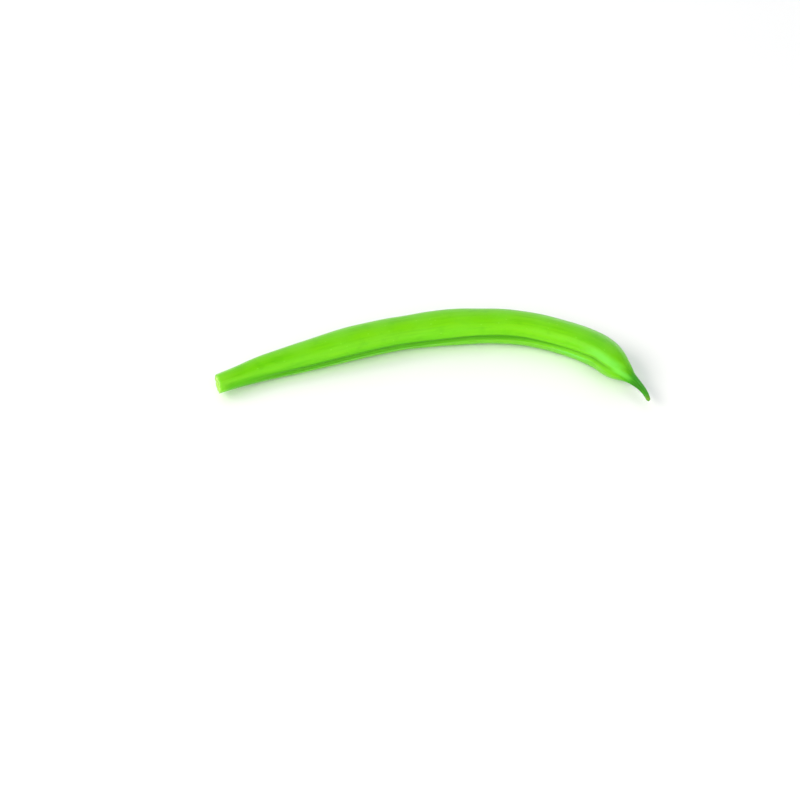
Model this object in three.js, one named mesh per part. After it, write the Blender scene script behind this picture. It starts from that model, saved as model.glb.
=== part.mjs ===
// A fresh green bean: one whole pod, snapped off at the stem and lying on its side.
//
// The pod is a single closed skin. Rings of points ride along a centre line that bends in the table's
// plane, from the snapped stem at -X to the thin curved beak at +X. Each ring is a slightly flattened
// circle, with the ventral suture (the seam along the inside of the bend) as a groove between two lips,
// the dorsal suture as a fainter line along the outside of the bend, and a shallow swelling over each
// seed. The pod lies on three small flats.
//
// Units are millimetres, +Z is up, and the origin is on the table under the middle of the pod's box.

import * as THREE from 'three';

// ---- Driving dimensions ----

// Along the centre line, from the snapped stem to the end of the beak.
const LENGTH = 129.6;

// Each table holds [distance from the snapped stem, value]; smooth() reads between its points.

// Which way the centre line runs, in degrees from +X towards +Y, seen from above.
const HEADING = [
  [0, 34], [8, 30.5], [20, 22.8], [34, 20.5], [46, 19.5], [60, 9.5], [75, 0], [88, -16.5],
  [99, -28.5], [106, -43.5], [112, -57], [117, -51], [123, -58], [LENGTH, -84],
];

// Half the pod's width from suture to suture: neck, body, shoulder, beak.
const HALF_WIDTH = [
  [0, 2.5], [5, 2.75], [15, 3.5], [26, 4.12], [40, 4.6], [52, 4.6], [66, 4.97], [80, 4.75], [94, 4.65],
  [105, 4.7], [110, 4.32], [114, 3.6], [117.5, 2.55], [120.5, 1.5], [124, 1], [128, 0.7], [LENGTH, 0.6],
];

// Thickness across the seeds, as a share of the width.
const THICKNESS = [[0, 0.97], [104, 0.95], [114, 1.06], [120, 0.95], [LENGTH, 0.8]];

// How far the ventral suture is turned up out of the plane of the bend, in degrees.
const TWIST = [[0, -8], [55, -8], [74, 0], [94, 3], [105, 8], [112, 15], [118, 20], [LENGTH, 20]];

// Clearance under the pod. It is below zero at the three places that press on the table.
const REST_PRESS = -0.14;
const LIFT = [
  [0, 1.3], [12, 0.35], [24, REST_PRESS], [45, 0.2], [65, REST_PRESS], [86, 0.2],
  [103, REST_PRESS], [110, 0.2], [120, 2.3], [LENGTH, 2.7],
];

// The ventral side swells where the body meets the beak.
const SHOULDER = { at: 116.2, reach: 4.2, height: 0.95 };

// The snapped stem: its face leans, its ventral edge furthest out, and is dished and rounded at the rim.
const SNAP_LEAN = 0.26;
const SNAP_LEAN_REACH = 6;
const SNAP_DISH = 0.3;
const RIM_ROUND = 0.3;
const RIM_INSET = 0.12;

// The beak ends in a small round point.
const BEAK_ROUND = 0.6;

// Ventral suture: a groove with a lip on each side, from the neck to the root of the beak.
const GROOVE = { depth: 0.34, halfWidth: 0.38 };
const LIP = { height: 0.13, from: 0.85, halfWidth: 0.4 };
const VENTRAL_FADE = [[0, 0], [10, 0.15], [30, 1], [106, 1], [120, 0.35], [LENGTH, 0]];

// Dorsal suture: a faint line along the outside of the bend.
const DORSAL = { depth: 0.1, halfWidth: 0.3 };
const DORSAL_FADE = [[0, 0], [14, 1], [108, 1], [118, 0], [LENGTH, 0]];

// The seeds show as shallow swellings on the pod's two broad sides.
const SEEDS = { first: 18, pitch: 11.2, count: 9, height: 0.07 };

// ---- Fineness of the mesh ----

const SIDES = 44;
const BODY_STEP = 2;
const BEAK_STEP = 0.9;
const BEAK_FROM = 104;
const ROUND_RINGS = 4;
// Moves a ring's points towards the two sutures: 0 spaces them evenly, and it stays below 1.
const CROWDING = 0.6;
const LINE_STEP = 0.1;
const SNAP_FACE_RING = 0.6;

// ---- Reading a table ----

// A monotone cubic through the table's points, so no value swings past the two that it lies between.
function smooth(table) {
  const chords = table.slice(1).map(([at, value], i) => (value - table[i][1]) / (at - table[i][0]));
  const slopes = table.map((_, i) => {
    const before = chords[Math.max(i - 1, 0)];
    const after = chords[Math.min(i, chords.length - 1)];
    return before * after > 0 ? (2 * before * after) / (before + after) : 0;
  });
  slopes[0] = chords[0];
  slopes[slopes.length - 1] = chords[chords.length - 1];
  return (at) => {
    const next = table.findIndex(([end], i) => i > 0 && at <= end);
    const i = next < 0 ? table.length - 2 : next - 1;
    const span = table[i + 1][0] - table[i][0];
    const t = (at - table[i][0]) / span;
    return (
      table[i][1] * (1 + 2 * t) * (1 - t) ** 2
      + slopes[i] * span * t * (1 - t) ** 2
      + table[i + 1][1] * t * t * (3 - 2 * t)
      + slopes[i + 1] * span * t * t * (t - 1)
    );
  };
}

const headingAt = smooth(HEADING);
const halfWidthAt = smooth(HALF_WIDTH);
const thicknessAt = smooth(THICKNESS);
const twistAt = smooth(TWIST);
const liftAt = smooth(LIFT);
const ventralFadeAt = smooth(VENTRAL_FADE);
const dorsalFadeAt = smooth(DORSAL_FADE);

const bell = (distance, reach) => Math.exp(-((distance / reach) ** 2));

// ---- The pod's shape ----

// Places along the centre line that get a ring: close at both rounded ends and round the beak.
function ringPlaces() {
  const places = [0, RIM_ROUND];
  for (let s = BODY_STEP; s < BEAK_FROM; s += BODY_STEP) {
    places.push(s);
  }
  const roundFrom = LENGTH - BEAK_ROUND;
  for (let s = BEAK_FROM; s < roundFrom - BEAK_STEP / 2; s += BEAK_STEP) {
    places.push(s);
  }
  for (let k = 0; k < ROUND_RINGS; k += 1) {
    places.push(roundFrom + BEAK_ROUND * Math.sin(((k / ROUND_RINGS) * Math.PI) / 2));
  }
  return places;
}

// The centre line, walked in short steps along its heading.
function centreLine(places) {
  const point = new THREE.Vector2();
  let walked = 0;
  return places.map((place) => {
    const steps = Math.max(1, Math.ceil((place - walked) / LINE_STEP));
    const step = (place - walked) / steps;
    for (let k = 0; k < steps; k += 1) {
      const heading = THREE.MathUtils.degToRad(headingAt(walked + (k + 0.5) * step));
      point.x += step * Math.cos(heading);
      point.y += step * Math.sin(heading);
    }
    walked = place;
    return point.clone();
  });
}

// How far the skin stands out of the plain section. The angle is 0 at the ventral suture and half a
// turn at the dorsal one.
function relief(s, angle, halfWidth) {
  const turn = Math.atan2(Math.sin(angle), Math.cos(angle));
  const fromVentral = Math.abs(turn) * halfWidth;
  const fromDorsal = (Math.PI - Math.abs(turn)) * halfWidth;
  const groove = GROOVE.depth * bell(fromVentral, GROOVE.halfWidth);
  const lip = LIP.height * bell(fromVentral - LIP.from, LIP.halfWidth);
  const dorsal = DORSAL.depth * bell(fromDorsal, DORSAL.halfWidth);
  const seed = (s - SEEDS.first) / SEEDS.pitch;
  const overSeeds = seed > 0 && seed < SEEDS.count;
  const swelling = overSeeds ? SEEDS.height * Math.sin(Math.PI * seed) ** 2 * Math.sin(angle) ** 2 : 0;
  return (lip - groove) * ventralFadeAt(s) - dorsal * dorsalFadeAt(s) + swelling;
}

// The section narrows to nothing over the beak's round point, and a little at the snapped rim.
function halfWidthRounded(s) {
  const intoPoint = Math.max(0, (s - (LENGTH - BEAK_ROUND)) / BEAK_ROUND);
  const inset = RIM_INSET * Math.max(0, 1 - s / RIM_ROUND);
  return halfWidthAt(s) * Math.sqrt(1 - intoPoint ** 2) - inset;
}

// One point of the skin, at a place on the centre line and an angle round it. Its section is turned by
// the twist, set down on the table, and leant near the snapped end.
function skinPoint(s, centre, angle, scale = 1) {
  const across = halfWidthRounded(s);
  const thick = across * thicknessAt(s);
  const out = relief(s, angle, across);
  const p = scale * (across + out) * Math.cos(angle);
  const q = scale * (thick + out) * Math.sin(angle);

  const twist = THREE.MathUtils.degToRad(twistAt(s));
  const bulge = SHOULDER.height * bell(s - SHOULDER.at, SHOULDER.reach) * (1 + Math.cos(angle)) / 2;
  const inward = p * Math.cos(twist) - q * Math.sin(twist) + bulge;
  const up = p * Math.sin(twist) + q * Math.cos(twist);
  const drop = Math.hypot(across * Math.sin(twist), thick * Math.cos(twist));
  const lean = -SNAP_LEAN * inward * Math.max(0, 1 - s / SNAP_LEAN_REACH) ** 2;
  const heading = THREE.MathUtils.degToRad(headingAt(s));
  return [
    centre.x + inward * Math.sin(heading) + lean * Math.cos(heading),
    centre.y - inward * Math.cos(heading) + lean * Math.sin(heading),
    Math.max(0, up + drop + liftAt(s)),
  ];
}

// A ring of the skin; a scale below 1 draws it inside the snapped face, pushed in by the dish.
function ring(s, centre, scale = 1) {
  const heading = THREE.MathUtils.degToRad(headingAt(s));
  const push = SNAP_DISH * (1 - scale ** 2);
  return Array.from({ length: SIDES }, (_, k) => {
    const even = (2 * Math.PI * k) / SIDES;
    const angle = even - (CROWDING / 2) * Math.sin(2 * even);
    const [x, y, z] = skinPoint(s, centre, angle, scale);
    return [x + push * Math.cos(heading), y + push * Math.sin(heading), z];
  });
}

// The skin runs from a point at the middle of the snapped face, over the rings, to the beak's tip.
function podGeometry() {
  const places = ringPlaces();
  const centres = centreLine([...places, LENGTH]);
  const faceRing = ring(0, centres[0], SNAP_FACE_RING);
  const rings = [faceRing, ...places.map((s, i) => ring(s, centres[i]))];
  const [snapMiddle] = ring(0, centres[0], 0);
  const beakTip = skinPoint(LENGTH, centres[places.length], 0);
  const positions = [...rings.flat(), snapMiddle, beakTip].flat();

  const faces = [];
  const last = rings.length - 1;
  const snapIndex = rings.length * SIDES;
  const tipIndex = snapIndex + 1;
  for (let k = 0; k < SIDES; k += 1) {
    const next = (k + 1) % SIDES;
    faces.push(snapIndex, k, next);
    for (let i = 0; i < last; i += 1) {
      const [a, b] = [i * SIDES + k, i * SIDES + next];
      faces.push(a, a + SIDES, b, b, a + SIDES, b + SIDES);
    }
    faces.push(last * SIDES + k, tipIndex, last * SIDES + next);
  }

  const geometry = new THREE.BufferGeometry();
  geometry.setAttribute('position', new THREE.Float32BufferAttribute(positions, 3));
  geometry.setIndex(faces);
  geometry.computeBoundingBox();
  const middle = geometry.boundingBox.getCenter(new THREE.Vector3());
  geometry.translate(-middle.x, -middle.y, 0);
  geometry.computeVertexNormals();
  return geometry;
}

// ---- The part ----

const podSkin = new THREE.MeshStandardMaterial({ color: 0x76d21e, roughness: 0.42, metalness: 0 });

const pod = new THREE.Mesh(podGeometry(), podSkin);
pod.name = 'pod';

const bean = new THREE.Group();
bean.add(pod);

export default bean;
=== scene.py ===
"""A fresh green bean: one whole pod, snapped off at the stem and lying on its side on a pale table.

The pod is one closed surface worked out with numpy. Every point is a function of two parameters: how far
it is along the pod, and the angle round it from the ventral suture. The lengths of the bean are in
millimetres, as in its solid, and are turned to metres once, when the mesh is made.
"""

import bpy
import numpy as np
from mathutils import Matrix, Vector


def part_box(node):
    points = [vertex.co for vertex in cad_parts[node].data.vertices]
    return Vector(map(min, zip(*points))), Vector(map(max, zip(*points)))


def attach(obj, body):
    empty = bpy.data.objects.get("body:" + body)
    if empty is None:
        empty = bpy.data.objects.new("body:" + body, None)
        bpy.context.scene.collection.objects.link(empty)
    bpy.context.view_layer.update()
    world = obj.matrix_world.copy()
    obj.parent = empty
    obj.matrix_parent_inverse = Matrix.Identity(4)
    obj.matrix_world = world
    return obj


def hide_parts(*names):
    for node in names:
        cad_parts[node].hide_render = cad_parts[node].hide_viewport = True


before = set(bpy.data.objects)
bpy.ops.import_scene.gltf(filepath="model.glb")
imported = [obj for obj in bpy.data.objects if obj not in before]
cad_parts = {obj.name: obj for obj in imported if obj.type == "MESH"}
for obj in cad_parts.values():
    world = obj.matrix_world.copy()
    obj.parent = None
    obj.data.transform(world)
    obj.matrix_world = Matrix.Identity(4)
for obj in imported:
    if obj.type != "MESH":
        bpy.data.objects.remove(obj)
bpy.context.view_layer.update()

MM = 0.001

# ---- The pod's shape, in millimetres: the solid's own dimensions ----

# Along the centre line, from the snapped stem to the end of the beak.
LENGTH = 129.6

# Each table holds (distance from the snapped stem, value); smooth() reads between its points.

# Which way the centre line runs, in degrees from +X towards +Y, seen from above.
HEADING = (
    (0, 34), (8, 30.5), (20, 22.8), (34, 20.5), (46, 19.5), (60, 9.5), (75, 0), (88, -16.5),
    (99, -28.5), (106, -43.5), (112, -57), (117, -51), (123, -58), (LENGTH, -84),
)

# Half the pod's width from suture to suture: neck, body, shoulder, beak.
HALF_WIDTH = (
    (0, 2.5), (5, 2.75), (15, 3.5), (26, 4.12), (40, 4.6), (52, 4.6), (66, 4.97), (80, 4.75), (94, 4.65),
    (105, 4.7), (110, 4.32), (114, 3.6), (117.5, 2.55), (120.5, 1.5), (124, 1), (128, 0.7), (LENGTH, 0.6),
)

# Thickness across the seeds, as a share of the width.
THICKNESS = ((0, 0.97), (104, 0.95), (114, 1.06), (120, 0.95), (LENGTH, 0.8))

# How far the ventral suture is turned up out of the plane of the bend, in degrees.
TWIST = ((0, -8), (55, -8), (74, 0), (94, 3), (105, 8), (112, 15), (118, 20), (LENGTH, 20))

# Clearance under the pod. It is below zero at the three places that press on the table.
REST_PRESS = -0.14
LIFT = (
    (0, 1.3), (12, 0.35), (24, REST_PRESS), (45, 0.2), (65, REST_PRESS), (86, 0.2),
    (103, REST_PRESS), (110, 0.2), (120, 2.3), (LENGTH, 2.7),
)

# The ventral side swells where the body meets the beak.
SHOULDER_AT = 116.2
SHOULDER_REACH = 4.2
SHOULDER_HEIGHT = 0.95

# The snapped stem: its face leans, its ventral edge furthest out, and is dished and rounded at the rim.
SNAP_LEAN = 0.26
SNAP_LEAN_REACH = 6.0
SNAP_DISH = 0.3
RIM_ROUND = 0.3
RIM_INSET = 0.12

# The beak ends in a small round point.
BEAK_ROUND = 0.6

# Ventral suture: a groove with a lip on each side, from the neck to the root of the beak.
GROOVE_DEPTH = 0.34
GROOVE_HALF_WIDTH = 0.38
LIP_HEIGHT = 0.13
LIP_FROM = 0.85
LIP_HALF_WIDTH = 0.4
VENTRAL_FADE = ((0, 0), (10, 0.15), (30, 1), (106, 1), (120, 0.35), (LENGTH, 0))

# Dorsal suture: a faint line along the outside of the bend.
DORSAL_DEPTH = 0.1
DORSAL_HALF_WIDTH = 0.3
DORSAL_FADE = ((0, 0), (14, 1), (108, 1), (118, 0), (LENGTH, 0))

# The seeds show as shallow swellings on the pod's two broad sides.
SEED_FIRST = 18.0
SEED_PITCH = 11.2
SEED_COUNT = 9
SEED_HEIGHT = 0.07

# ---- What the skin shows beyond the solid, in millimetres ----

# A grown pod is never quite even: long shallow waves, each (length along the pod, lobes round it).
WAVES = ((31.0, 1), (23.0, 2), (17.0, 2), (13.0, 3), (9.5, 2))
WAVE_HEIGHT = 0.01
WAVES_FADE = ((0, 0), (12, 1), (110, 1), (124, 0), (LENGTH, 0))

# The rim tore a little as the stem snapped, in teeth of several sizes: how many round the rim, and how deep.
RIM_TEETH = ((5, 0.05), (9, 0.045), (17, 0.035), (31, 0.02))
RIM_TEAR_REACH = 2.2

# Broken fibre bundles stand in a loose ring on the snapped face, with pith inside and rind outside. How
# far out they are and their half widths are shares of the face's own half width. They stray from even
# places by up to this share of their spacing, and each one's height is a share of the tallest.
BUNDLES = 13
BUNDLE_RING = (0.6, 0.74)
BUNDLE_STRAY = 0.3
BUNDLE_HALF_WIDTHS = (0.045, 0.09)
BUNDLE_HEIGHTS = (0.3, 1.0)
TALLEST_BUNDLE = 0.24

# The middle of the pith has shrunk to a small hollow, its half width again a share of the face's.
HOLLOW_DEPTH = 0.4
HOLLOW_HALF_WIDTH = 0.2

# Two waves cross in the grain of the face: how far each turns across the face's half width, and up it, in
# radians.
GRAIN_WAVES = ((19, 6), (-8, 17))
GRAIN_HEIGHT = 0.06

# The groove holds a fine raised thread, where the pod's two halves meet.
THREAD_HEIGHT = 0.07
THREAD_HALF_WIDTH = 0.13

# Low ridges run along the neck and the beak, where the fibres come together: how many, and their height.
NECK_RIDGES = 7
NECK_RIDGE_HEIGHT = 0.035
NECK_RIDGES_FADE = ((0, 1), (9, 0.6), (18, 0), (LENGTH, 0))
BEAK_RIDGES = 5
BEAK_RIDGE_HEIGHT = 0.055
BEAK_RIDGES_FADE = ((0, 0), (114, 0), (121, 1), (128, 0.8), (LENGTH, 0.3))
# The beak's ridges wind round it, by this many radians per millimetre.
BEAK_WIND = 0.12

RANDOM_SEED = 7

# ---- Fineness of the mesh ----

SIDES = 160
RING_STEP = 0.27
# Rings over each of the two rounded ends, and on the snapped face.
END_RINGS = 7
FACE_RINGS = 26
# Moves a ring's points towards the two sutures: 0 spaces them evenly, and it stays below 1.
CROWDING = 0.6
# The centre line is walked in steps of this length.
LINE_STEP = 0.05


def smooth(table, at):
    """Reads a table by a monotone cubic: between two points the value follows the Hermite polynomial, with
    the harmonic mean of the two neighbouring chords as the slope at a point, or none where they turn."""
    x, y = np.array(table, float).T
    chord = np.diff(y) / np.diff(x)
    before, after = chord[:-1], chord[1:]
    same_way = before * after > 0
    total = np.where(same_way, before + after, 1.0)
    slope = np.concatenate([chord[:1], np.where(same_way, 2 * before * after / total, 0.0), chord[-1:]])
    at = np.asarray(at, float)
    i = np.clip(np.searchsorted(x, at, side="left") - 1, 0, len(x) - 2)
    span = x[i + 1] - x[i]
    t = (at - x[i]) / span
    return (
        y[i] * (1 + 2 * t) * (1 - t) ** 2
        + slope[i] * span * t * (1 - t) ** 2
        + y[i + 1] * t * t * (3 - 2 * t)
        + slope[i + 1] * span * t * t * (t - 1)
    )


def bell(distance, reach):
    """1 at no distance, falling as e to the minus square of distance over reach."""
    return np.exp(-((distance / reach) ** 2))


def centre_line(at):
    """Points of the centre line: the sum of short steps, each in the direction of the heading there."""
    walk = np.arange(0, LENGTH + LINE_STEP, LINE_STEP)
    heading = np.radians(smooth(HEADING, walk[:-1] + LINE_STEP / 2))
    x = np.concatenate([[0], np.cumsum(LINE_STEP * np.cos(heading))])
    y = np.concatenate([[0], np.cumsum(LINE_STEP * np.sin(heading))])
    return np.interp(at, walk, x), np.interp(at, walk, y)


def half_width(at):
    """The table's half width, times the height of a quarter circle over the beak's round end, less a small
    inset at the snapped rim."""
    into_point = np.clip((at - (LENGTH - BEAK_ROUND)) / BEAK_ROUND, 0, 1)
    inset = RIM_INSET * np.clip(1 - at / RIM_ROUND, 0, 1)
    return smooth(HALF_WIDTH, at) * np.sqrt(1 - into_point**2) - inset


def unevenness(at, angle):
    """The sum of long sine waves that run along and round the pod, each with its own start."""
    starts = np.random.default_rng(RANDOM_SEED).uniform(0, 2 * np.pi, len(WAVES))
    total = np.zeros(np.broadcast_shapes(at.shape, angle.shape))
    for (wavelength, lobes), start in zip(WAVES, starts):
        total += np.sin(2 * np.pi * at / wavelength + lobes * angle + start)
    return WAVE_HEIGHT * total * smooth(WAVES_FADE, at)


def seed_wave(at):
    """A squared sine with one crest over each seed."""
    seed = (at - SEED_FIRST) / SEED_PITCH
    return np.where((seed > 0) & (seed < SEED_COUNT), np.sin(np.pi * seed) ** 2, 0)


def relief(at, angle, width):
    """How far the skin stands out of the plain section: two bell-shaped lips beside a bell-shaped ventral
    groove with a bell-shaped thread in it, less a fainter dorsal groove, plus a squared sine over the
    seeds, cosine ridges round the neck and the beak, and the slow unevenness."""
    turn = np.abs(np.arctan2(np.sin(angle), np.cos(angle)))
    groove = GROOVE_DEPTH * bell(turn * width, GROOVE_HALF_WIDTH)
    lip = LIP_HEIGHT * bell(turn * width - LIP_FROM, LIP_HALF_WIDTH)
    dorsal = DORSAL_DEPTH * bell((np.pi - turn) * width, DORSAL_HALF_WIDTH)
    swelling = SEED_HEIGHT * seed_wave(at) * np.sin(angle) ** 2
    thread = THREAD_HEIGHT * bell(turn * width, THREAD_HALF_WIDTH)
    sutures = (lip - groove + thread) * smooth(VENTRAL_FADE, at) - dorsal * smooth(DORSAL_FADE, at)
    neck = NECK_RIDGE_HEIGHT * np.cos(NECK_RIDGES * angle) * smooth(NECK_RIDGES_FADE, at)
    beak = BEAK_RIDGE_HEIGHT * np.cos(BEAK_RIDGES * angle + BEAK_WIND * at) * smooth(BEAK_RIDGES_FADE, at)
    return sutures + swelling + neck + beak + unevenness(at, angle)


def torn_rim(angle):
    """How far the rim is torn back: the sum of sine teeth of several sizes round it."""
    starts = np.random.default_rng(RANDOM_SEED + 1).uniform(0, 2 * np.pi, len(RIM_TEETH))
    return sum(height * np.sin(teeth * angle + start) for (teeth, height), start in zip(RIM_TEETH, starts))


def section(at, angle, scale):
    """The pod's section before it is bent: an ellipse with the relief added, its long half axis through
    the sutures, times the scale. Returns how far the points are towards the ventral suture and how far up,
    and the half height of the turned ellipse, by which the section has to rise to stand on the table."""
    across = half_width(at)
    thick = across * smooth(THICKNESS, at)
    out = relief(at, angle, across)
    twist = np.radians(smooth(TWIST, at))
    half_height = np.hypot(across * np.sin(twist), thick * np.cos(twist))
    return scale * (across + out) * np.cos(angle), scale * (thick + out) * np.sin(angle), half_height


def skin(at, angle, scale=1.0, push=0.0):
    """Points of the pod: the section turned by the twist, swollen at the shoulder, set down on the table,
    and carried along the centre line, where the snapped end leans and its rim is torn. A scale below 1
    is inside the snapped face, and push moves a point into the pod. Returns places and unbent places."""
    ventral, upper, half_height = section(at, angle, scale)
    twist = np.radians(smooth(TWIST, at))
    bulge = SHOULDER_HEIGHT * bell(at - SHOULDER_AT, SHOULDER_REACH) * (1 + np.cos(angle)) / 2
    inward = ventral * np.cos(twist) - upper * np.sin(twist) + bulge
    up = ventral * np.sin(twist) + upper * np.cos(twist) + half_height + smooth(LIFT, at)
    lean = -SNAP_LEAN * inward * np.clip(1 - at / SNAP_LEAN_REACH, 0, 1) ** 2
    tear = torn_rim(angle) * scale**2 * np.clip(1 - at / RIM_TEAR_REACH, 0, 1) ** 2
    along = lean + tear + push
    heading = np.radians(smooth(HEADING, at))
    x, y = centre_line(at)
    place = np.stack([
        x + inward * np.sin(heading) + along * np.cos(heading),
        y - inward * np.cos(heading) + along * np.sin(heading),
        np.maximum(up, 0),
    ], axis=-1)
    unbent = np.stack([at + push + 0 * angle, ventral, upper], axis=-1)
    return place, unbent


def face_bundles(angle):
    """How far out each ring of the snapped face is, from 0 at its middle to 1 at the rim, and the fibre
    bundles on it: the sum of bells of several heights and widths, at seeded places in a loose ring."""
    share = np.linspace(0, 1, FACE_RINGS + 1)[:-1, None]
    random = np.random.default_rng(RANDOM_SEED + 2)
    stray = random.uniform(-BUNDLE_STRAY, BUNDLE_STRAY, BUNDLES)
    around = 2 * np.pi * (np.arange(BUNDLES) + stray) / BUNDLES
    out = random.uniform(*BUNDLE_RING, BUNDLES)
    width = random.uniform(*BUNDLE_HALF_WIDTHS, BUNDLES)
    height = random.uniform(*BUNDLE_HEIGHTS, BUNDLES)
    across = (share * np.cos(angle))[..., None] - out * np.cos(around)
    up = (share * np.sin(angle))[..., None] - out * np.sin(around)
    return share, (height * bell(np.hypot(across, up), width)).sum(axis=-1)


def snapped_face(angle):
    """Rings of the snapped face: a parabolic dish with a bell-shaped hollow in its middle, less the fibre
    bundles that stand out of it and a grain, which is the product of two sine waves that cross, times a
    parabola that is nothing at the middle and at the rim."""
    share, bundles = face_bundles(angle)
    across, up = share * np.cos(angle), share * np.sin(angle)
    dish = SNAP_DISH * (1 - share**2) + HOLLOW_DEPTH * bell(share, HOLLOW_HALF_WIDTH)
    crossed = np.prod([np.sin(sideways * across + upwards * up) for sideways, upwards in GRAIN_WAVES], axis=0)
    grain = GRAIN_HEIGHT * crossed * 4 * share * (1 - share)
    return skin(np.zeros((1, 1)), angle, share, dish - TALLEST_BUNDLE * bundles - grain)


def pod_rings():
    """The places along the pod that get a ring: even along the body, close over both rounded ends."""
    turn = np.linspace(0, np.pi / 2, END_RINGS + 1)
    rim = RIM_ROUND * np.linspace(0, 1, END_RINGS)[:-1]
    round_from = LENGTH - BEAK_ROUND
    body = np.linspace(RIM_ROUND, round_from, int(round_from / RING_STEP))[:-1]
    point = round_from + BEAK_ROUND * np.sin(turn)
    return np.concatenate([rim, body, point])[:, None]


def skin_marks(angle):
    """What the materials follow, for every ring of the grid: the distance round the skin from each suture,
    which is the angle times the half width; a squared sine over each seed; and on the snapped face, the
    share of the way out and the height of the fibre bundles, which are 1 and 0 on the skin."""
    at = np.concatenate([np.zeros((FACE_RINGS, 1)), pod_rings()])
    width = half_width(at)
    turn = np.abs(np.arctan2(np.sin(angle), np.cos(angle)))
    skin_only = np.zeros((len(pod_rings()), angle.shape[1]))
    share, bundles = face_bundles(angle)
    return {
        "from_ventral": turn * width,
        "from_dorsal": (np.pi - turn) * width,
        "over_seed": seed_wave(at) * np.sin(angle) ** 2,
        "outward": np.concatenate([share + 0 * angle, skin_only + 1]),
        "on_bundle": np.concatenate([bundles, skin_only]),
    }


def with_poles(grid):
    """One row for each vertex: the grid's first and last rings have no size, so each becomes one point."""
    return np.concatenate([grid[0, :1], grid[1:-1].reshape(-1, *grid.shape[2:]), grid[-1, :1]])


def pod_mesh():
    """One closed grid: the snapped face's rings from its middle out, then the skin's rings to the beak's
    end, with a fan of triangles at both poles. Its middle is moved over the middle of the solid."""
    even = np.arange(SIDES) * 2 * np.pi / SIDES
    angle = (even - CROWDING / 2 * np.sin(2 * even))[None, :]
    face_place, face_unbent = snapped_face(angle)
    skin_place, skin_unbent = skin(pod_rings(), angle)
    points = with_poles(np.concatenate([face_place, skin_place]))
    unbent = with_poles(np.concatenate([face_unbent, skin_unbent]))

    rings = (len(points) - 2) // SIDES
    corner = 1 + np.arange(rings * SIDES).reshape(rings, SIDES)
    beside = np.roll(corner, -1, axis=1)
    quads = np.stack([corner[:-1], corner[1:], beside[1:], beside[:-1]], axis=-1).reshape(-1, 4)
    last = len(points) - 1
    first_fan = np.stack([np.zeros(SIDES, int), corner[0], beside[0]], axis=-1)
    last_fan = np.stack([corner[-1], np.full(SIDES, last), beside[-1]], axis=-1)

    solid_low, solid_high = np.array(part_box("pod")) / MM
    middle = (points.min(axis=0) + points.max(axis=0)) / 2
    points[:, :2] += ((solid_low + solid_high) / 2 - middle)[:2]

    mesh = bpy.data.meshes.new("pod")
    mesh.from_pydata(points * MM, [], [*first_fan.tolist(), *quads.tolist(), *last_fan.tolist()])
    mesh.attributes.new("unbent", "FLOAT_VECTOR", "POINT").data.foreach_set("vector", unbent.ravel())
    for name, values in skin_marks(angle).items():
        mesh.attributes.new(name, "FLOAT", "POINT").data.foreach_set("value", with_poles(values))
    mesh.polygons.foreach_set("use_smooth", np.ones(len(mesh.polygons), bool))

    # The second material, the flesh, is on the snapped face and its rounded rim.
    flesh_bands = FACE_RINGS + END_RINGS - 1
    material = np.zeros(len(mesh.polygons), np.int32)
    material[:SIDES * flesh_bands] = 1
    mesh.polygons.foreach_set("material_index", material)
    mesh.update()
    return mesh


# ---- Materials ----

# The pod's greens.
BEAN_GREEN = "#6BC606"
BEAN_YELLOWER = "#73C908"
BEAN_DEEPER = "#56B403"
OVER_SEED = "#73CB1A"
PALE_FLECK = "#93DB45"
LIP_GREEN = "#7ED41C"
# A painted highlight, in a pale green.
SHOULDER_PAINTED_HIGHLIGHT = "#77DF54"
# The suture's own line, and painted shade over its lips.
SUTURE_AND_PAINTED_SHADE_GREEN = "#479A02"
NECK_GREEN = "#86D62E"
BEAK_GREEN = "#2F9204"
# Painted shade on the beak's ventral side.
BEAK_PAINTED_SHADE = "#257602"
BEAK_END_GREEN = "#55A022"
DRY_TAN = "#9C8B45"

# What the wax's gloss and the down's sheen are tinted with.
WAX_TINT = "#C4FFA0"
DOWN_TINT = "#E4FFC8"

# The snapped face's colours, from the rind to the middle.
RIND_GREEN = "#7CCB2A"
FLESH_GREEN = "#A9DC50"
BUNDLE_CREAM = "#DDEBAC"
PITH_GREEN = "#98CF48"
RING_GREEN = "#7FB836"
# Painted shade in the pith's hollow.
HOLLOW_PAINTED_SHADE = "#6F9F30"
TORN_TAN = "#A79A55"

CARD_WHITE = "#FCFCFC"

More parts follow.
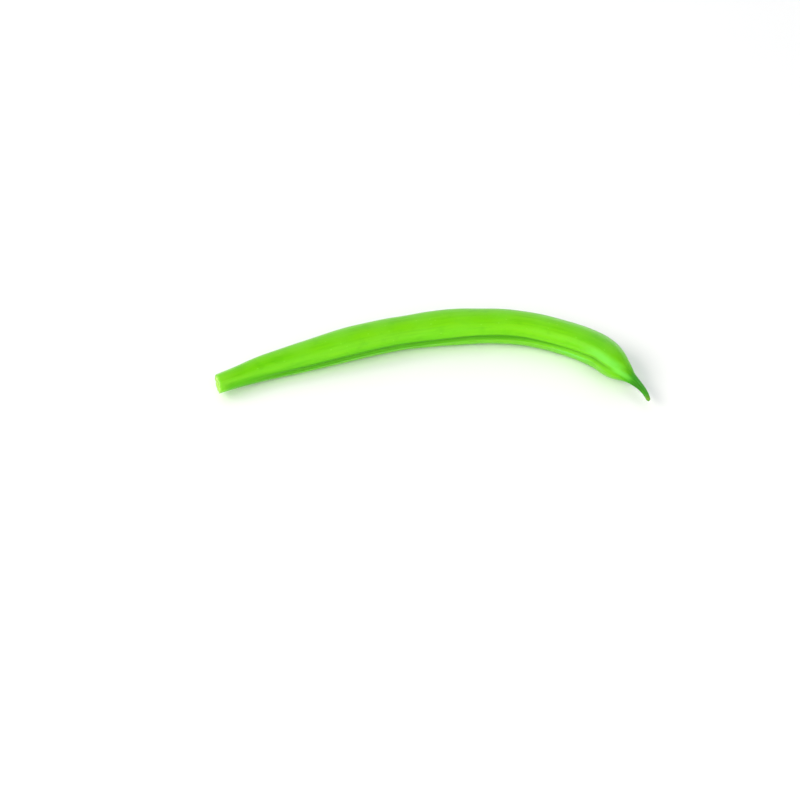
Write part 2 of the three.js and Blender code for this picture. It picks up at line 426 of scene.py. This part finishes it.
# The two tables of coats are painted over a ground colour, the first coat lowest. A coat is its colour and
# its soft steps, and a step is (what it follows, where it starts, where it ends, the coat's share at the
# start, its share at the end). In millimetres, "along" is from the snapped stem, "into_beak" is the same with
# the beak's slant and streaks, "upper" is up from the level of the sutures, and "from_ventral" and
# "from_dorsal" are round the skin from a suture. "from_fleck" is a share of FLECK_SIZE, "over_seed" is 1 on
# the middle of a seed, and the other patterns run from 0 to 1.
ON_THE_BODY = (("along", 8, 28, 0, 1), ("along", 112, 121, 1, 0))
SKIN_COATS = (
    # Slow clouds, streaks and mottling, then paler skin over the seeds, and small pale flecks.
    (BEAN_YELLOWER, [("clouds", 0.35, 0.65, 0, 1)]),
    (BEAN_DEEPER, [("streaks", 0.45, 0.75, 0, 0.6)]),
    (BEAN_DEEPER, [("mottle", 0.5, 0.7, 0, 0.35)]),
    (OVER_SEED, [("over_seed", 0.1, 1, 0, 0.6)]),
    (PALE_FLECK, [("from_fleck", 0.05, 0.14, 0.4, 0)]),
    # The lips of the ventral suture are paler, and away from them the broad end is darker with painted shade
    # beside the painted highlights.
    (LIP_GREEN, [("from_ventral", 0.5, 1.8, 0.6, 0), *ON_THE_BODY]),
    (BEAN_DEEPER, [
        ("from_ventral", 2.4, 4.2, 0, 0.4),
        ("along", 98, 110, 0, 1), ("along", 114, 120, 1, 0),
    ]),
    # Painted highlights: pale satin bands beside the ventral suture at the broad end, above it and then below
    # it.
    (SHOULDER_PAINTED_HIGHLIGHT, [
        ("from_ventral", 0.4, 1.1, 0, 0.6), ("from_ventral", 1.6, 3.5, 1, 0), ("upper", 0, 1, 0, 1),
        ("along", 102, 113, 0, 1), ("along", 116, 120, 1, 0),
    ]),
    (SHOULDER_PAINTED_HIGHLIGHT, [
        ("from_ventral", 0.5, 1.0, 0, 0.7), ("from_ventral", 1.4, 2.8, 1, 0), ("upper", -1, 0, 1, 0),
        ("along", 92, 100, 0, 1), ("along", 104, 112, 1, 0),
    ]),
    # The line of the dorsal suture.
    (BEAN_DEEPER, [("from_dorsal", 0.1, 0.5, 0.7, 0), *ON_THE_BODY]),
    # The snapped end is pale, and the neck's ventral side is darker with painted shade, which fades along the
    # body.
    (NECK_GREEN, [("along", 0, 6, 0.45, 0)]),
    (BEAN_DEEPER, [
        ("from_ventral", 0.7, 2.1, 1, 0),
        ("along", 0, 3, 0, 1), ("along", 50, 72, 1, 0.2),
    ]),
    # The ventral suture: a wide soft band of painted shade over its lips on the neck and the middle, and a
    # narrow line along it all.
    (SUTURE_AND_PAINTED_SHADE_GREEN, [
        ("from_ventral", 0.5, 1.3, 0.7, 0),
        ("along", 1, 20, 0, 1), ("along", 80, 98, 1, 0),
    ]),
    (SUTURE_AND_PAINTED_SHADE_GREEN, [("from_ventral", 0.15, 0.8, 1, 0), ("along", 84, 104, 1, 0.6), *ON_THE_BODY]),
    # The beak is dark, with a painted highlight on top of its root, painted shade on its ventral side and a
    # paler, dry tip.
    (BEAK_GREEN, [("into_beak", 116.8, 122, 0, 1)]),
    (SHOULDER_PAINTED_HIGHLIGHT, [
        ("from_ventral", 0.8, 1.7, 0.5, 0), ("upper", -0.4, 0.3, 0, 1),
        ("along", 115.5, 118, 0, 1), ("along", 119, 122.5, 1, 0),
    ]),
    (BEAK_PAINTED_SHADE, [
        ("from_ventral", 0.5, 1.2, 0.9, 0),
        ("along", 120.5, 123.5, 0, 1), ("along", 125, 128, 1, 0),
    ]),
    (BEAK_END_GREEN, [("along", 122, LENGTH, 0, 0.2)]),
    (DRY_TAN, [("along", 127.6, LENGTH, 0, 0.25)]),
)

# On the snapped face, "outward" is 0 at its middle and 1 at its rim, and "on_bundle" is 1 on the tallest
# fibre bundle.
FLESH_COATS = (
    # Greener pith, with painted shade in its hollow.
    (PITH_GREEN, [("outward", 0.3, 0.6, 0.9, 0)]),
    (HOLLOW_PAINTED_SHADE, [("outward", 0.1, 0.28, 0.8, 0)]),
    # An uneven deeper ring inside the rind, and the rind.
    (RING_GREEN, [
        ("outward", 0.74, 0.82, 0, 0.7), ("outward", 0.82, 0.9, 1, 0),
        ("mottle", 0.35, 0.6, 0.4, 1),
    ]),
    (RIND_GREEN, [("outward", 0.86, 0.96, 0, 1)]),
    # Cream fibre bundles, mottling over all of it, and the tallest bundles' dried ends.
    (BUNDLE_CREAM, [("on_bundle", 0.1, 0.6, 0, 0.85)]),
    (PITH_GREEN, [("mottle", 0.45, 0.7, 0, 0.45)]),
    (TORN_TAN, [("on_bundle", 0.75, 1.0, 0, 0.4), ("mottle", 0.4, 0.6, 0, 1)]),
)

# The beak's dark green begins later on the ventral side, by this share of the distance towards that side,
# and streaks of the skin's green run on into it over this many millimetres.
BEAK_DARK_SLANT = 0.15
BEAK_DARK_STREAKS = 5.0

# Sizes of the skin's patterns in millimetres: along the pod and across it.
CLOUD_SIZE = (26.0, 7.0)
STREAK_SIZE = (40.0, 0.8)
MOTTLE_SIZE = (3.4, 2.0)
FLECK_SIZE = (2.6, 1.6)
# A real pod's fibres are about 0.1 mm wide and its pores finer still: both are drawn coarser, to show.
FIBRE_SIZE = (14.0, 0.42)
PORE_SIZE = (0.55, 0.45)

# Heights of the skin's fine relief in millimetres, which is too fine for the mesh.
FIBRE_HEIGHT = 0.05
PORE_HEIGHT = 0.018

# Sizes and height of the flesh's fine grain on the snapped face, in millimetres.
FLESH_GRAIN_SIZE = (0.35, 0.22)
FLESH_GRAIN_HEIGHT = 0.03

# The roughness goes from its first value to its second while the pattern goes over this part of its range.
SKIN_ROUGHNESS = (0.32, 0.4)
SKIN_ROUGHNESS_OVER = (0.3, 0.7)
FLESH_ROUGHNESS = (0.3, 0.55)
FLESH_ROUGHNESS_OVER = (0.35, 0.65)


def linear(hex_colour):
    """An sRGB hex colour as linear red, green, blue and alpha."""
    srgb = np.array([int(hex_colour[i:i + 2], 16) for i in (1, 3, 5)]) / 255
    light = np.where(srgb <= 0.04045, srgb / 12.92, ((srgb + 0.055) / 1.055) ** 2.4)
    return (*light.tolist(), 1.0)


def add_node(tree, kind, settings, inputs):
    """Adds a shader node, sets its properties, then its inputs: another node's output is linked, and
    anything else becomes the input's own value."""
    node = tree.nodes.new("ShaderNode" + kind)
    for name, value in settings.items():
        setattr(node, name, value)
    for socket, value in inputs.items():
        if isinstance(value, bpy.types.NodeSocket):
            tree.links.new(value, node.inputs[socket])
        else:
            node.inputs[socket].default_value = value
    return node


def new_material(name):
    """An empty node material, and its tree."""
    material = bpy.data.materials.new(name)
    material.use_nodes = True
    material.node_tree.nodes.clear()
    return material, material.node_tree


def painted(tree, ground, coats, followed):
    """Lays a table of coats over the ground colour. The shares of a coat's steps are multiplied, and each
    step reads the output that is kept in followed under the name of what it follows."""
    colour = linear(ground)
    for coat, steps in coats:
        share = 1.0
        for name, start, end, share_at_start, share_at_end in steps:
            step = add_node(tree, "MapRange", {"interpolation_type": "SMOOTHSTEP"}, {
                "Value": followed[name], "From Min": start, "From Max": end,
                "To Min": share_at_start, "To Max": share_at_end,
            })
            product = add_node(tree, "Math", {"operation": "MULTIPLY"}, {0: share, 1: step.outputs[0]})
            share = product.outputs[0]
        laid = add_node(tree, "Mix", {"data_type": "RGBA"}, {0: share, 6: colour, 7: linear(coat)})
        colour = laid.outputs[2]
    return colour


def patterns(tree, place, wanted):
    """One pattern node for each row of kind, settings, inputs and size along and across the pod, read at
    the unbent place divided by that size."""
    nodes = []
    for kind, settings, inputs, (along, across) in wanted:
        stretch = (1 / along, 1 / across, 1 / across)
        stretched = add_node(tree, "VectorMath", {"operation": "MULTIPLY"}, {0: place, 1: stretch})
        nodes.append(add_node(tree, kind, settings, {"Vector": stretched.outputs[0], "Scale": 1.0, **inputs}))
    return nodes


def fresh_bean_skin():
    """The cuticle of a fresh green bean, as it grew: a thin wax over juicy green tissue, with a down of
    hooked hairs far too short to see. The wax gives soft wide highlights, the tissue glows a little where
    light gets in, and the down pales the skin where it is seen at a slant. Its colour also holds painted
    highlights beside the ventral suture at the broad end and on the beak's root, and painted shade at the
    broad end, on the neck's and the beak's ventral sides and over the suture's lips."""
    material, tree = new_material("fresh_bean_skin")
    unbent = add_node(tree, "Attribute", {"attribute_name": "unbent"}, {}).outputs["Vector"]
    axes = add_node(tree, "SeparateXYZ", {}, {"Vector": unbent})
    along, towards_ventral, upper = axes.outputs["X"], axes.outputs["Y"], axes.outputs["Z"]
    marks = {
        name: add_node(tree, "Attribute", {"attribute_name": name}, {}).outputs["Fac"]
        for name in ("from_ventral", "from_dorsal", "over_seed")
    }
    clouds, streaks, mottle, flecks, fibres, pores = patterns(tree, unbent, (
        ("TexNoise", {}, {"Detail": 2.0}, CLOUD_SIZE),
        ("TexNoise", {}, {"Detail": 3.0, "Roughness": 0.6}, STREAK_SIZE),
        ("TexNoise", {}, {"Detail": 2.0}, MOTTLE_SIZE),
        ("TexVoronoi", {}, {}, FLECK_SIZE),
        ("TexNoise", {}, {"Detail": 2.0}, FIBRE_SIZE),
        ("TexVoronoi", {}, {}, PORE_SIZE),
    ))
    slanted = add_node(tree, "Math", {"operation": "MULTIPLY_ADD"}, {
        0: towards_ventral, 1: -BEAK_DARK_SLANT, 2: along,
    })
    streaked = add_node(tree, "MapRange", {"clamp": False}, {
        "Value": streaks.outputs["Fac"], "To Min": -BEAK_DARK_STREAKS / 2, "To Max": BEAK_DARK_STREAKS / 2,
    })
    into_beak = add_node(tree, "Math", {"operation": "ADD"}, {0: slanted.outputs[0], 1: streaked.outputs[0]})
    green = painted(tree, BEAN_GREEN, SKIN_COATS, {
        **marks,
        "along": along,
        "upper": upper,
        "into_beak": into_beak.outputs[0],
        "clouds": clouds.outputs["Fac"],
        "streaks": streaks.outputs["Fac"],
        "mottle": mottle.outputs["Fac"],
        "from_fleck": flecks.outputs["Distance"],
    })

    fibre = add_node(tree, "Math", {"operation": "MULTIPLY"}, {0: fibres.outputs["Fac"], 1: FIBRE_HEIGHT})
    height = add_node(tree, "Math", {"operation": "MULTIPLY_ADD"}, {
        0: pores.outputs["Distance"], 1: PORE_HEIGHT, 2: fibre.outputs[0],
    })
    bump = add_node(tree, "Bump", {}, {"Height": height.outputs[0], "Distance": MM})
    gloss = add_node(tree, "MapRange", {}, {
        "Value": streaks.outputs["Fac"],
        "From Min": SKIN_ROUGHNESS_OVER[0], "From Max": SKIN_ROUGHNESS_OVER[1],
        "To Min": SKIN_ROUGHNESS[0], "To Max": SKIN_ROUGHNESS[1],
    })
    shader = add_node(tree, "BsdfPrincipled", {}, {
        "Base Color": green,
        "Roughness": gloss.outputs[0],
        "IOR": 1.45,
        "Specular IOR Level": 0.45,
        "Specular Tint": linear(WAX_TINT),
        "Subsurface Weight": 0.25,
        "Subsurface Radius": (0.45, 1.0, 0.15),
        "Subsurface Scale": 1.2 * MM,
        "Sheen Weight": 0.03,
        "Sheen Roughness": 0.35,
        "Sheen Tint": linear(DOWN_TINT),
        "Normal": bump.outputs["Normal"],
    })
    add_node(tree, "OutputMaterial", {}, {"Surface": shader.outputs[0]})
    return material


def snapped_bean_flesh():
    """The inside of the stem end, as it snapped: wet pale flesh inside a green rind, with a ring of cream
    fibre bundles and a greener pith, its hollow darkened with painted shade. The sap gives small sharp
    highlights, and the torn ends have dried."""
    material, tree = new_material("snapped_bean_flesh")
    unbent = add_node(tree, "Attribute", {"attribute_name": "unbent"}, {}).outputs["Vector"]
    marks = {
        name: add_node(tree, "Attribute", {"attribute_name": name}, {}).outputs["Fac"]
        for name in ("outward", "on_bundle")
    }
    grain, = patterns(tree, unbent, (("TexNoise", {}, {"Detail": 3.0}, FLESH_GRAIN_SIZE),))
    mottle = grain.outputs["Fac"]
    green = painted(tree, FLESH_GREEN, FLESH_COATS, {**marks, "mottle": mottle})

    height = add_node(tree, "Math", {"operation": "MULTIPLY"}, {0: mottle, 1: FLESH_GRAIN_HEIGHT})
    bump = add_node(tree, "Bump", {}, {"Height": height.outputs[0], "Distance": MM})
    gloss = add_node(tree, "MapRange", {}, {
        "Value": mottle,
        "From Min": FLESH_ROUGHNESS_OVER[0], "From Max": FLESH_ROUGHNESS_OVER[1],
        "To Min": FLESH_ROUGHNESS[0], "To Max": FLESH_ROUGHNESS[1],
    })
    shader = add_node(tree, "BsdfPrincipled", {}, {
        "Base Color": green,
        "Roughness": gloss.outputs[0],
        "IOR": 1.4,
        "Specular IOR Level": 0.42,
        "Subsurface Weight": 0.4,
        "Subsurface Radius": (0.8, 1.0, 0.4),
        "Subsurface Scale": 0.8 * MM,
        "Normal": bump.outputs["Normal"],
    })
    add_node(tree, "OutputMaterial", {}, {"Surface": shader.outputs[0]})
    return material


def matt_white_card():
    """White card, smooth and uncoated: it shows no gloss, only the bean's soft shadow."""
    material, tree = new_material("matt_white_card")
    shader = add_node(tree, "BsdfPrincipled", {}, {"Base Color": linear(CARD_WHITE), "Roughness": 0.85})
    add_node(tree, "OutputMaterial", {}, {"Surface": shader.outputs[0]})
    return material


# ---- The pod ----

pod = bpy.data.objects.new("green_bean_pod", pod_mesh())
bpy.context.scene.collection.objects.link(pod)
pod.data.materials.append(fresh_bean_skin())
pod.data.materials.append(snapped_bean_flesh())
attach(pod, "root")
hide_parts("pod")

# ---- Table, light and camera, in metres ----

TABLE_SIZE = 0.5
TABLE_CORNERS = ((-1, -1), (1, -1), (1, 1), (-1, 1))

# Soft boxes: name, place, width and height, watts, colour.
SOFT_BOXES = (
    ("behind", (-0.1, 0.65, 0.65), (1.0, 1.0), 2.5, "#FFFFFF"),
    ("behind_right", (0.45, 0.88, 0.2), (0.6, 0.4), 0.9, "#FFFFFF"),
    ("left", (-0.7, -0.36, 0.62), (1.3, 0.5), 8.8, "#FFFAF0"),
    ("front_right", (0.45, -0.78, 0.42), (1.0, 1.0), 5.7, "#FFFAF0"),
)

# Colour and strength of the light from all round, and between which heights the walls fade into the
# ceiling, as the sine of the angle above the table.
WALLS = ("#FFFFFF", 1.0)
CEILING = ("#E9F2FF", 0.36)
WALLS_FADE = (0.1, 0.5)

# The lens and the width that it covers are in millimetres, the elevation in degrees.
LENS = 100
FILM_WIDTH = 36
CAMERA_TARGET = (-0.0082, -0.01335, 0.0)
CAMERA_ELEVATION = 39
CAMERA_DISTANCE = 0.5778


def white_table():
    """A flat square, at the height that the bean lies on."""
    mesh = bpy.data.meshes.new("table")
    half = TABLE_SIZE / 2
    mesh.from_pydata([(x * half, y * half, 0) for x, y in TABLE_CORNERS], [], [(0, 1, 2, 3)])
    mesh.materials.append(matt_white_card())
    table = bpy.data.objects.new("table", mesh)
    bpy.context.scene.collection.objects.link(table)


def soft_box(name, place, size, power, colour):
    """A rectangular area light that faces the bean, its width level."""
    light = bpy.data.lights.new(name, "AREA")
    light.shape = "RECTANGLE"
    light.size, light.size_y = size
    light.energy = power
    light.color = linear(colour)[:3]
    lamp = bpy.data.objects.new(name, light)
    lamp.location = place
    lamp.rotation_euler = (-Vector(place)).to_track_quat("-Z", "Y").to_euler()
    bpy.context.scene.collection.objects.link(lamp)


def studio_walls():
    """Light from all round: pale walls, which fade into a dimmer, cooler ceiling."""
    world = bpy.data.worlds.new("studio")
    world.use_nodes = True
    tree = world.node_tree
    tree.nodes.clear()
    direction = add_node(tree, "TexCoord", {}, {}).outputs["Generated"]
    up = add_node(tree, "SeparateXYZ", {}, {"Vector": direction}).outputs["Z"]
    rise = add_node(tree, "MapRange", {"interpolation_type": "SMOOTHSTEP"}, {
        "Value": up, "From Min": WALLS_FADE[0], "From Max": WALLS_FADE[1],
    })
    walls, ceiling = (
        add_node(tree, "Background", {}, {"Color": linear(colour), "Strength": strength})
        for colour, strength in (WALLS, CEILING)
    )
    both = add_node(tree, "MixShader", {}, {
        0: rise.outputs[0], 1: walls.outputs[0], 2: ceiling.outputs[0],
    })
    add_node(tree, "OutputWorld", {}, {"Surface": both.outputs[0]})
    bpy.context.scene.world = world


def camera_on_bean():
    """A camera that looks along +Y, down on its target."""
    data = bpy.data.cameras.new("camera")
    data.lens = LENS
    data.sensor_width = FILM_WIDTH
    camera = bpy.data.objects.new("camera", data)
    elevation = np.radians(CAMERA_ELEVATION)
    back = Vector((0, -np.cos(elevation), np.sin(elevation)))
    camera.location = Vector(CAMERA_TARGET) + CAMERA_DISTANCE * back
    camera.rotation_euler = (-back).to_track_quat("-Z", "Y").to_euler()
    bpy.context.scene.collection.objects.link(camera)
    bpy.context.scene.camera = camera


white_table()
for row in SOFT_BOXES:
    soft_box(*row)
studio_walls()
camera_on_bean()
bpy.context.scene.view_settings.view_transform = "Standard"
